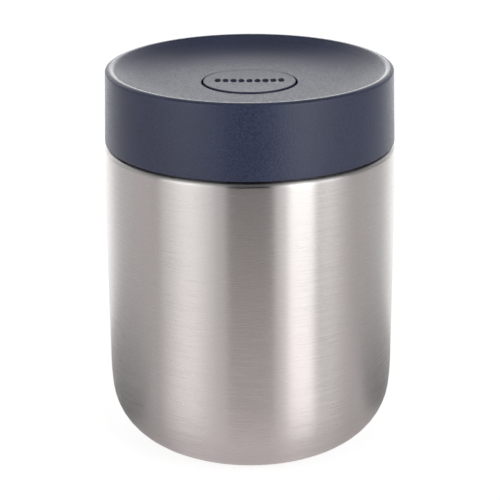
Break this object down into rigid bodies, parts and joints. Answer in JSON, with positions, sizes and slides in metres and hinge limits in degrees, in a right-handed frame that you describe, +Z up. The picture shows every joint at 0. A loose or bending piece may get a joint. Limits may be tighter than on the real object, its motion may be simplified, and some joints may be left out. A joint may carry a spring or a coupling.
{
  "type": "vacuum insulated food canister",
  "caption": "Round double-walled steel food canister with a rounded base and a screw-on dished plastic lid that has a sprung vent button in its middle.",
  "frame": {"origin": "centre of the base, at the level of the surface that the canister stands on", "axes": "+Z up through the lid on the canister's own axis; the canister is round, and -Y faces the picture's camera"},
  "size_m": [0.1, 0.1, 0.1335],
  "materials": {
    "brushed_body_steel": "stainless steel brushed round the body in fine level lines",
    "satin_vessel_steel": "satin stainless steel, as drawn and electropolished",
    "foil": "bright thin foil",
    "getter_pellet": "pressed and sintered metal powder, dark and dull",
    "solder_glass": "fused dark solder glass",
    "silicone": "moulded food-grade silicone, soft sheen",
    "navy_plastic": "moulded navy plastic with a fine matt grain",
    "core_plastic": "moulded grey plastic, satin",
    "foam": "rigid white foam",
    "valve_steel": "drawn stainless wire and rod"
  },
  "bodies": {
    "canister": {"outer_shell": "brushed_body_steel", "outer_bottom": "brushed_body_steel", "inner_vessel": "satin_vessel_steel", "inner_bottom": "satin_vessel_steel", "heat_shield": "foil", "getter": "getter_pellet", "getter_clip": "valve_steel", "evacuation_plug": "solder_glass"},
    "lid_seal": {"lid_gasket": "silicone"},
    "lid": {"lid_cap": "navy_plastic", "lid_core": "core_plastic", "lid_plug": "core_plastic", "lid_foam": "foam", "button_spring": "valve_steel"},
    "vent_valve": {"vent_button": "navy_plastic", "valve_stem": "valve_steel", "valve_seal": "silicone", "seal_washer": "valve_steel"}
  },
  "joints": [
    {"name": "lid_lift", "type": "slide", "parent": "canister", "child": "lid_seal", "axis": [0, 0, 1], "range_m": [0, 0.015]},
    {"name": "lid_turn", "type": "hinge", "parent": "lid_seal", "child": "lid", "pos_m": [0, 0, 0.1216], "axis": [0, 0, 1], "range_deg": [0, 540]},
    {"name": "vent_press", "type": "slide", "parent": "lid", "child": "vent_valve", "axis": [0, 0, -1], "range_m": [0, 0.0025], "stiffness_N_per_m": 500, "springref_m": -0.004, "deforming": ["button_spring"]}
  ],
  "couplings": [
    {"joint": "lid_lift", "follows": "lid_turn", "m_per_rad": 0.0015915}
  ]
}
